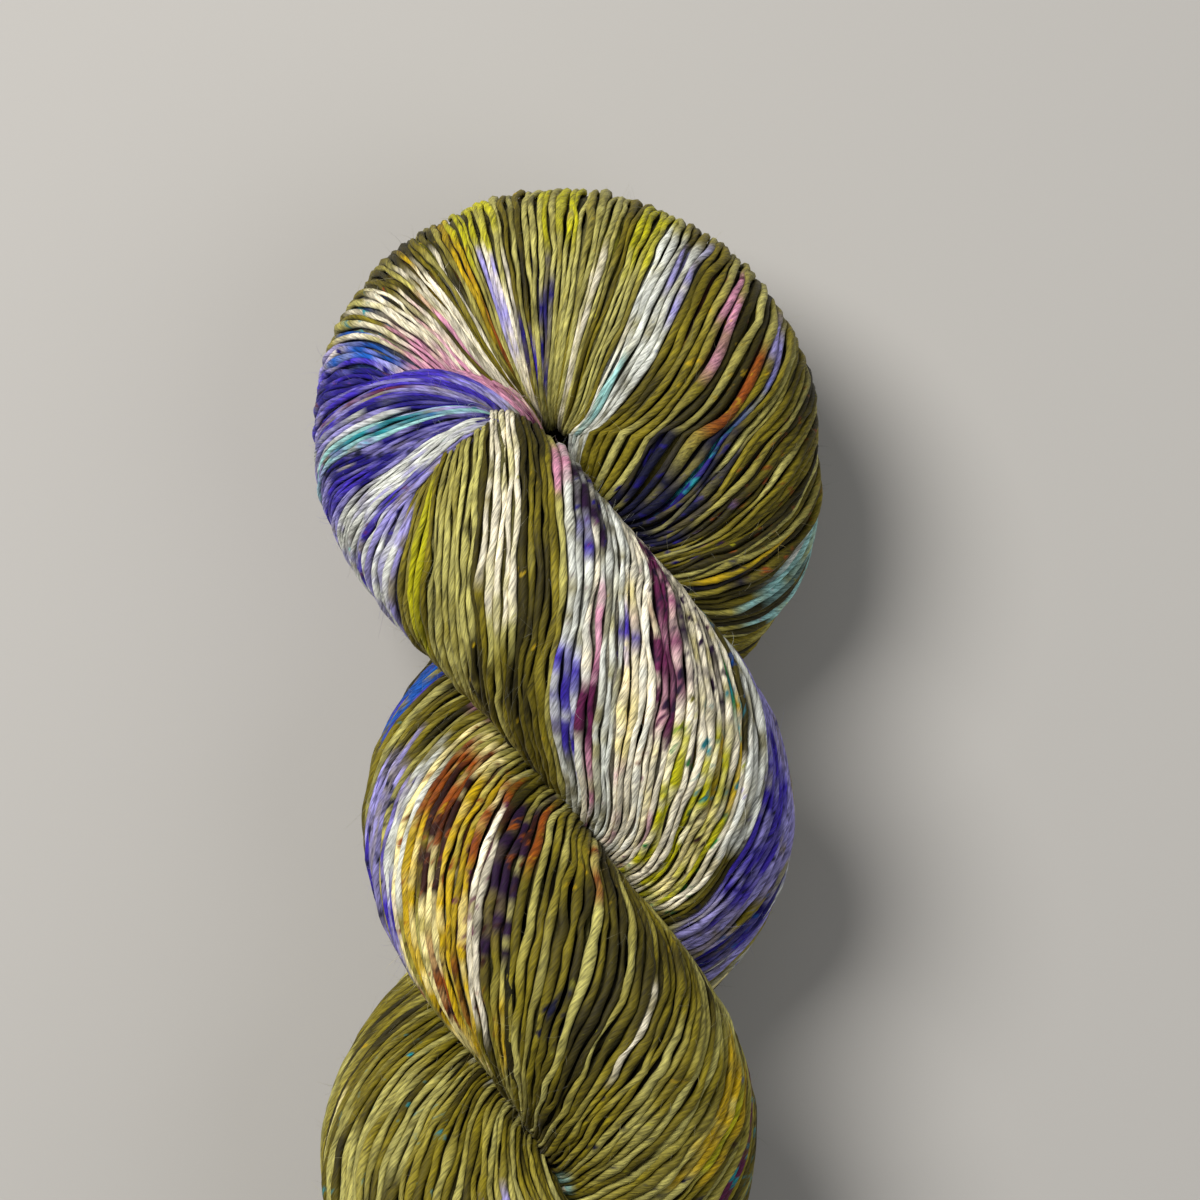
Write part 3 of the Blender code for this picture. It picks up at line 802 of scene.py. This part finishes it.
# The angles between which a yarn lies on the ply at all: where its place plus its shift is between
# the two lengths.
def cornerSpan(places, first, last):
    degrees = np.linspace(-160.0, 160.0, 321)
    at = places[:, None] + layShift(places, np.radians(degrees) + 0.0 * places[:, None])
    onPly = (at > first) & (at < last)
    return degrees[onPly.argmax(axis=1)], degrees[320 - onPly[:, ::-1].argmax(axis=1)]


# The yarns lean, so past the last whole one each leg still has a corner of shorter ones.
cornerYarn = dict(yarn, points=32, dive=0.0)
cornerPlaces = np.concatenate([
    yarnLengths(line["length"][0] - 25.0, firstLength - 0.9),
    yarnLengths(lastLength + 0.9, line["length"][-1] + 22.0),
])
cornerRng = np.random.default_rng(yarn["seed"] + 1)
paths = yarnPaths(cornerPlaces, cornerRng, cornerYarn, 0.0,
                  cornerSpan(cornerPlaces, line["length"][0] + 2.0, line["length"][-1] - 8.0))
addYarnPiece("yarns_ply_corners", paths, cornerRng, cornerYarn)
print("plies done")

# The tail: the open end of the right-hand ply is a ring of yarns, and the left-hand ply's end is
# tucked through it and tied, a short loop that turns back over its own tip.
tail = {
    "ringBelow": 150.5,  # the ring's middle, below the eye
    "ringRadius": 21.5,
    "ringThick": 12.0,
    "ringWide": 12.5,
    "ringLean": (-10.0, 6.0),  # degrees about x, then about z
    "ringYarns": 37,
    "ringSpread": 146.0,  # degrees round its own section, each way from outermost
    "ringSeam": -105.0,  # where its yarns start and end, on the underside
    "ringOverlap": 7.0,  # degrees by which each end runs on past the seam
    "ringDrift": 24.3,  # degrees that they creep round the section in one turn, three yarns' room
    "tongueFrom": 149.0,
    "tongueTip": 196.0,
    "tongueYarns": 29,
    "tipRadius": 16.2,  # of the half circle in which the outermost yarns turn back
    "points": 104,
    "lead": 15,  # how many of them are on each straight part of the tongue
    "deep": 1.9,  # how far the inside lies under the skin
}


# Points turned about x, then about z.
def turned(points, degreesX, degreesZ):
    a = math.radians(degreesX)
    b = math.radians(degreesZ)
    aboutX = np.array([[1, 0, 0], [0, math.cos(a), -math.sin(a)], [0, math.sin(a), math.cos(a)]])
    aboutZ = np.array([[math.cos(b), -math.sin(b), 0], [math.sin(b), math.cos(b), 0], [0, 0, 1]])
    return points @ (aboutZ @ aboutX).T


# The ring's skin: a circle of ringRadius in the upright plane, with an ellipse round it, of ringThick
# outwards and ringWide along the skein.
def ringSkin(turn, section, lift):
    reach = tail["ringRadius"] + (tail["ringThick"] + lift) * np.cos(section)
    wide = (tail["ringWide"] + lift) * np.sin(section)
    local = np.stack([reach * np.cos(turn), -wide, reach * np.sin(turn)], axis=-1)
    out = [np.cos(section) * np.cos(turn), -np.sin(section), np.cos(section) * np.sin(turn)]
    points = onFloor(turned(local, *tail["ringLean"]) + fromAxis(tail["ringBelow"], 0.0))
    return points, turned(np.stack(out, axis=-1), *tail["ringLean"])


# Each yarn goes once round the ring at its own angle of the section, which drifts a little and
# strays by smooth noise, and both ends dive.
def ringPaths(rng, settings):
    t = np.linspace(0.0, 1.0, tail["points"])[None, :]
    spread = np.linspace(-tail["ringSpread"], tail["ringSpread"], tail["ringYarns"])[:, None]
    order = np.arange(tail["ringYarns"])[:, None]
    turn = tail["ringSeam"] + 360.0 * t + tail["ringOverlap"] * (2.0 * t - 1.0)
    turn = np.radians(turn) + 0.0 * spread
    stray = 4.0 * smoothNoise(rng, order / 5.0, 9.0 * t) + 1.2 * smoothNoise(rng, order, 26.0 * t)
    section = np.radians(spread + tail["ringDrift"] * (t - 0.5) + stray)
    dive = 1.3 * np.clip(1.0 - np.minimum(t, 1.0 - t) / 0.035, 0.0, 1.0)
    lift = settings["depth"] * smoothNoise(rng, order, 12.0 * t) - settings["thick"] - dive
    points, away = ringSkin(turn, section, lift)
    swell = 1.0 + settings["slub"] * smoothNoise(rng, order, 40.0 * t)
    radius = settings["thick"] * swell * squeeze(points, settings)
    return {"points": points, "away": away, "radius": radius,
            "around": np.radians(360.0 * t - 160.0) + 0.0 * spread,
            "places": np.linspace(-210.0, -176.0, tail["ringYarns"])}


# The tucked loop's middle at any distance below the eye.
def tongueMiddle(below):
    return fromAxis(below, -rope("leftOut", below))


# Its radius, which a quarter circle closes at the tip: the root of radius^2 - (radius - left)^2.
def tongueRadius(below):
    radius = rope("leftThick", below)
    left = np.clip(tail["tongueTip"] - below, 0.0, None)
    return np.sqrt(np.clip(radius**2 - np.clip(radius - left, 0.0, None) ** 2, 0.0, None))


# Each yarn goes down the top side at its own angle from the middle, over the tip in a half circle of
# the radius times that angle's cosine, and back up the underside.
def tonguePaths(rng, settings):
    tip = tail["tipRadius"]
    cap = tail["tongueTip"] - tip
    lead = tail["lead"]
    share = np.radians(np.linspace(-84.0, 84.0, tail["tongueYarns"]))[:, None]
    straight = np.linspace(tail["tongueFrom"], cap, lead, endpoint=False)[None, :]
    theta = np.linspace(0.0, math.pi, tail["points"] - 2 * lead)[None, :]
    t = np.linspace(0.0, 1.0, tail["points"])[None, :]
    order = np.arange(tail["tongueYarns"])[:, None]
    lift = settings["depth"] * smoothNoise(rng, order, 12.0 * t) - settings["thick"]
    share = share + np.radians(2.4 * smoothNoise(rng, order / 4.0, 6.0 * t)
                               + 1.2 * smoothNoise(rng, order, 16.0 * t))
    ones = np.ones((1, lead))
    height = np.concatenate([ones, np.cos(theta), -ones], axis=1)
    onward = np.concatenate([0.0 * ones, np.sin(theta), 0.0 * ones], axis=1)
    skin = tongueRadius(straight)
    radius = np.concatenate([skin, 0.0 * theta + tip, skin[:, ::-1]], axis=1) + lift
    base = np.concatenate([straight, 0.0 * theta + cap, straight[:, ::-1]], axis=1)
    points = tongueMiddle(base + radius * np.cos(share) * onward)
    out = np.stack([np.sin(share) + 0.0 * t, -np.cos(share) * onward, np.cos(share) * height], axis=-1)
    points[..., 0] += radius * np.sin(share)
    points[..., 2] += radius * np.cos(share) * height
    points = onFloor(points)
    swell = 1.0 + settings["slub"] * smoothNoise(rng, order, 26.0 * t)
    thick = settings["thick"] * swell * squeeze(points, settings)
    return {"points": points, "away": out, "radius": thick, "around": math.pi * (t - 0.5) + 0.0 * order,
            "places": np.linspace(196.0, 240.0, tail["tongueYarns"])}


# The filling of the ring and of the tongue, in the same painted shade: their skins let in by "deep".
def addTailInside():
    deep = tail["deep"]
    turn = np.linspace(-math.pi, math.pi, 72, endpoint=False)[:, None]
    section = np.linspace(-math.pi, math.pi, 30, endpoint=False)[None, :]
    ring, _ = ringSkin(turn + 0.0 * section, section + 0.0 * turn, -deep)
    index = np.arange(72 * 30).reshape(72, 30)
    ringQuads = ringFaces(np.concatenate([index, index[:1]]))[:, [0, 3, 2, 1]]
    below = tail["tongueTip"] - deep - 34.0 * (0.5 + 0.5 * np.cos(np.linspace(0.0, math.pi, 40)))[:, None]
    radius = tongueRadius(below + deep) - deep * (tongueRadius(below + deep) > deep)
    spoke = np.stack([np.cos(section), 0.0 * section, np.sin(section)], axis=-1)
    tongue = tongueMiddle(below[:, 0])[:, None, :] + np.clip(radius, 0.05, None)[..., None] * spoke
    grid = np.arange(40 * 30).reshape(40, 30) + index.size
    caps = np.stack([grid[0, ::-1], grid[-1]])
    vertices = np.concatenate([ring.reshape(-1, 3), tongue.reshape(-1, 3)])
    quads = np.concatenate([ringQuads, ringFaces(grid)])
    placed(meshObject("tail_inside", vertices, quads, caps), coreMaterial)


addTailInside()
shown.append(addYarnPiece("yarns_tail_ring", ringPaths(rng, yarn), rng, yarn))
shown.append(addYarnPiece("yarns_tail_loop", tonguePaths(rng, yarn), rng, yarn))
print("tail done")

# The tie: two-ply cotton, a loop round the neck, an overhand knot and two short ends.
tie = {
    "thread": 0.36,  # half of one strand's thickness
    "apart": 0.33,  # from the thread's middle to a strand's middle
    "pitch": 2.3,  # millimetres for one turn of the strands
    "fine": 0.24,  # millimetres from ring to ring
    "below": 171.5,  # where it goes round, below the eye
    "lift": 0.75,  # from the neck's skin to the thread's middle
    "knotRound": 62.0,  # degrees round the neck, 90 on top
    "knotSize": (1.9, 1.5, 1.2),
    # name, then below the eye and degrees round the neck, each from the knot to the tip
    "ends": (("right", 173.9, 186.0, 52.5, -8.0), ("left", 173.9, 183.0, 71.5, 128.0)),
}


# A point over the tongue's skin: its middle plus radius and lift towards an angle.
def neckPoint(below, degrees, lift):
    angle = np.radians(degrees)
    out = np.stack([np.cos(angle), 0.0 * angle, np.sin(angle)], axis=-1)
    return tongueMiddle(below) + (tongueRadius(below) + lift)[..., None] * out


# Two strands wound round a path: each is the path plus "apart" along a direction that turns once
# for every pitch.
def addThread(name, path, nodeName):
    steps = along(path)
    at = np.linspace(0.0, steps[-1], int(steps[-1] / tie["fine"]))
    middle = np.stack([np.interp(at, steps, path[:, i]) for i in range(3)], axis=-1)
    ahead = unit(np.gradient(middle, axis=0))
    up = unit(np.cross(ahead, (0.31, 0.82, 0.48)))  # a direction that no part of the thread takes
    side = np.cross(ahead, up)
    turn = 2.0 * math.pi * at / tie["pitch"] + np.array([[0.0], [math.pi]])
    away = np.cos(turn)[..., None] * up + np.sin(turn)[..., None] * side
    points = middle + tie["apart"] * away
    radius = tie["thread"] + 0.0 * turn
    vertices, quads, caps, uvs = tubes(points, away, radius, 6)
    placed(meshObject(name, vertices, quads, caps, uvs), cottonMaterial, nodeName, slot="tie")


# Mercerised cotton in bottle green, two plies twisted: smoother and glossier than the wool. Its fibres
# are 0.02 mm, too fine to show, so the grain is 0.4 mm.
def cottonThread():
    material, tree, shader = freshMaterial("bottle_green_cotton", Roughness=0.5, Sheen_Weight=0.2)
    place = node(tree, "TexCoord")
    grain = node(tree, "TexNoise", Vector=place.outputs["Object"], Scale=2600.0, Detail=2.0)
    shade = node(tree, "MapRange", Value=grain, From_Min=0.3, From_Max=0.7, To_Min=0.7, To_Max=1.3)
    green = tuple(linear("#0B5A42"))
    tinted = node(tree, "VectorMath", {"operation": "SCALE"}, i0=green, Scale=shade)
    tree.links.new(tinted.outputs[0], shader.inputs["Base Color"])
    return material


cottonMaterial = cottonThread()


# The loop follows the neck's skin, a little wavy. The knot is a trefoil: sin t + 2 sin 2t,
# cos t - 2 cos 2t and -1.6 sin 3t. The ends run down the tongue and stand off it in the middle.
def addTie():
    degrees = np.linspace(0.0, 360.0, 180) + tie["knotRound"]
    below = tie["below"] + 0.5 * np.sin(np.radians(2.0 * degrees))
    addThread("tie_thread_loop", neckPoint(below, degrees, tie["lift"]), "tie_loop")
    t = np.linspace(0.0, 2.0 * math.pi, 90)
    curl = np.stack([np.sin(t) + 2.0 * np.sin(2.0 * t), np.cos(t) - 2.0 * np.cos(2.0 * t),
                     -1.6 * np.sin(3.0 * t)], axis=-1)
    size = (np.array(tie["knotSize"]) - tie["thread"] - tie["apart"]) / np.array([2.9, 2.9, 1.6])
    middle = neckPoint(np.array([tie["below"] + 1.8]), np.array([tie["knotRound"]]), tie["lift"] + 0.9)[0]
    addThread("tie_thread_knot", middle + curl * size, "tie_knot")
    t = np.linspace(0.0, 1.0, 60)
    for name, startBelow, endBelow, startRound, endRound in tie["ends"]:
        below = startBelow + (endBelow - startBelow) * t**1.3
        lift = 1.0 + 0.9 * np.sin(math.pi * t) ** 2 + 0.5 * np.sin(3.0 * t)
        path = neckPoint(below, startRound + (endRound - startRound) * t**0.85, lift)
        addThread("tie_thread_end_" + name, path, "tie_end_" + name)


addTie()

halo = {
    "fibres": 6500,
    "shortest": 0.9,
    "longest": 4.2,
    "thick": 0.024,
    "bend": 0.45,  # how far the tip leaves the straight line, as a share of the length
    "paler": 0.25,  # share of white in its colour
    "seed": 29,
}


# A single merino fibre: the yarn's own dye, thin and bright against what is behind it.
def haloFibre():
    material, tree, shader = freshMaterial("stray_merino_fibre", Roughness=0.5)
    dye = node(tree, "Attribute", {"attribute_name": "dye"})
    tree.links.new(dye.outputs["Color"], shader.inputs["Base Color"])
    return material


# The halo: short fibres that stand off the yarns, each a thin spike of three sides that starts in a
# yarn, leans along it and bends over: start + length * (t * first + bend * t^2 * second).
def addHalo(groups):
    rng = np.random.default_rng(halo["seed"])
    share = np.array([group["radius"].size for group in groups], float)
    counts = (halo["fibres"] * share / share.sum()).astype(int)
    roots = []
    for group, count in zip(groups, counts):
        row = rng.integers(0, group["radius"].shape[0], count)
        at = rng.integers(2, group["radius"].shape[1] - 2, count)
        away = group["away"][row, at]
        roots.append((group["points"][row, at] + away * group["radius"][row, at][:, None] * 0.5,
                      unit(group["points"][row, at + 1] - group["points"][row, at - 1]),
                      away, group["colour"][row, at]))
    start, ahead, out, colour = (np.concatenate(part) for part in zip(*roots))
    count = len(start)
    length = halo["shortest"] + (halo["longest"] - halo["shortest"]) * rng.random((count, 1)) ** 2.2
    sense = rng.choice((-1.0, 1.0), (count, 1))
    first = unit(sense * ahead * rng.uniform(0.2, 1.2, (count, 1)) + out * rng.uniform(0.3, 1.0, (count, 1))
                 + 0.45 * rng.normal(size=(count, 3)))
    second = unit(rng.normal(size=(count, 3)) + 0.4 * sense * ahead - 0.5 * out)[:, None, :]
    t = np.linspace(0.0, 1.0, 5)[None, :, None]
    points = start[:, None, :] + length[:, None, :] * (t * first[:, None, :] + halo["bend"] * t**2 * second)
    points[..., 2] = np.maximum(points[..., 2], 0.05)
    radius = halo["thick"] * (1.0 - 0.75 * t[..., 0]) * rng.uniform(0.7, 1.3, (count, 1))
    vertices, quads, caps, uvs = tubes(points, out[:, None, :] + 0.3 * second + 0.0 * points, radius, 3)
    piece = meshObject("wool_halo", vertices, quads, caps, uvs)
    paler = (1.0 - halo["paler"]) * colour + halo["paler"] * dyes["white"]
    rgba = np.concatenate([paler, np.ones((count, 1))], axis=-1)
    addAttribute(piece, "dye", "FLOAT_COLOR", np.repeat(rgba, 15, axis=0))  # 5 rings of 3
    placed(piece, haloMaterial)
    print("wool_halo", count, "fibres,", len(quads) * 2 + len(caps), "triangles")


haloMaterial = haloFibre()
addHalo(shown)
print("halo done")


studio = {
    "floor": "#B3B0AB",
    "aim": (4.7, eyeY - 28.2, 40.0),  # the middle of the frame, in millimetres
    "elevation": 84.0,  # of the camera, degrees above the floor
    "distance": 0.65,  # metres
    "width": 193.5,  # what the frame takes in at the aim
    "lights": (  # name, place and size in metres, watts, colour
        ("key", (-0.5, 0.45, 0.95), 0.6, 14.6, (1.0, 0.985, 0.96)),
        ("fill", (0.8, -0.3, 1.0), 0.9, 3.5, (0.96, 0.98, 1.0)),
    ),
    "lightsAim": (0.0, 0.03, 0.03),
    "world": (0.96, 0.97, 1.0, 1.0),
    "worldStrength": 0.19,
}


# A sheet just under the skein: smooth matt plaster, plain and pale.
def addFloor():
    bpy.ops.mesh.primitive_plane_add(size=4.0)
    floor = bpy.context.active_object
    floor.name = "floor"
    colour = (*linear(studio["floor"]), 1.0)
    floor.data.materials.append(freshMaterial("pale_matt_floor", Base_Color=colour, Roughness=0.8)[0])
    floor.location.z = -0.0002


# The camera looks at the aim from "distance" away. Its lens is half the sensor over half the width,
# times the distance.
def addCamera():
    data = bpy.data.cameras.new("camera")
    camera = addToScene("camera", data)
    tilt = math.radians(studio["elevation"])
    back = np.array([0.0, -math.cos(tilt), math.sin(tilt)])
    camera.location = np.array(studio["aim"]) * mm + back * studio["distance"]
    camera.rotation_euler = (math.pi / 2.0 - tilt, 0.0, 0.0)
    data.sensor_width = 36.0
    data.lens = 18.0 / (0.5 * studio["width"] * mm / studio["distance"])
    data.clip_start = 0.01
    data.clip_end = 20.0
    data.dof.use_dof = False
    bpy.context.scene.camera = camera


# A round soft light, turned from straight down by the angle to its aim, about x and then about z.
def addLight(name, place, size, power, colour):
    data = bpy.data.lights.new(name, "AREA")
    data.shape = "DISK"
    data.size = size
    data.energy = power
    data.color = colour
    light = addToScene(name, data)
    light.location = place
    x, y, z = np.array(studio["lightsAim"]) - np.array(place)
    light.rotation_euler = (math.atan2(math.hypot(x, y), -z), 0.0, math.atan2(y, x) - math.pi / 2.0)


addFloor()
addCamera()
for light in studio["lights"]:
    addLight(*light)
world = bpy.data.worlds.new("studio")
world.use_nodes = True
background = world.node_tree.nodes["Background"]
background.inputs["Color"].default_value = studio["world"]
background.inputs["Strength"].default_value = studio["worldStrength"]
bpy.context.scene.world = world
bpy.context.scene.view_settings.view_transform = "Standard"
print("stage done")
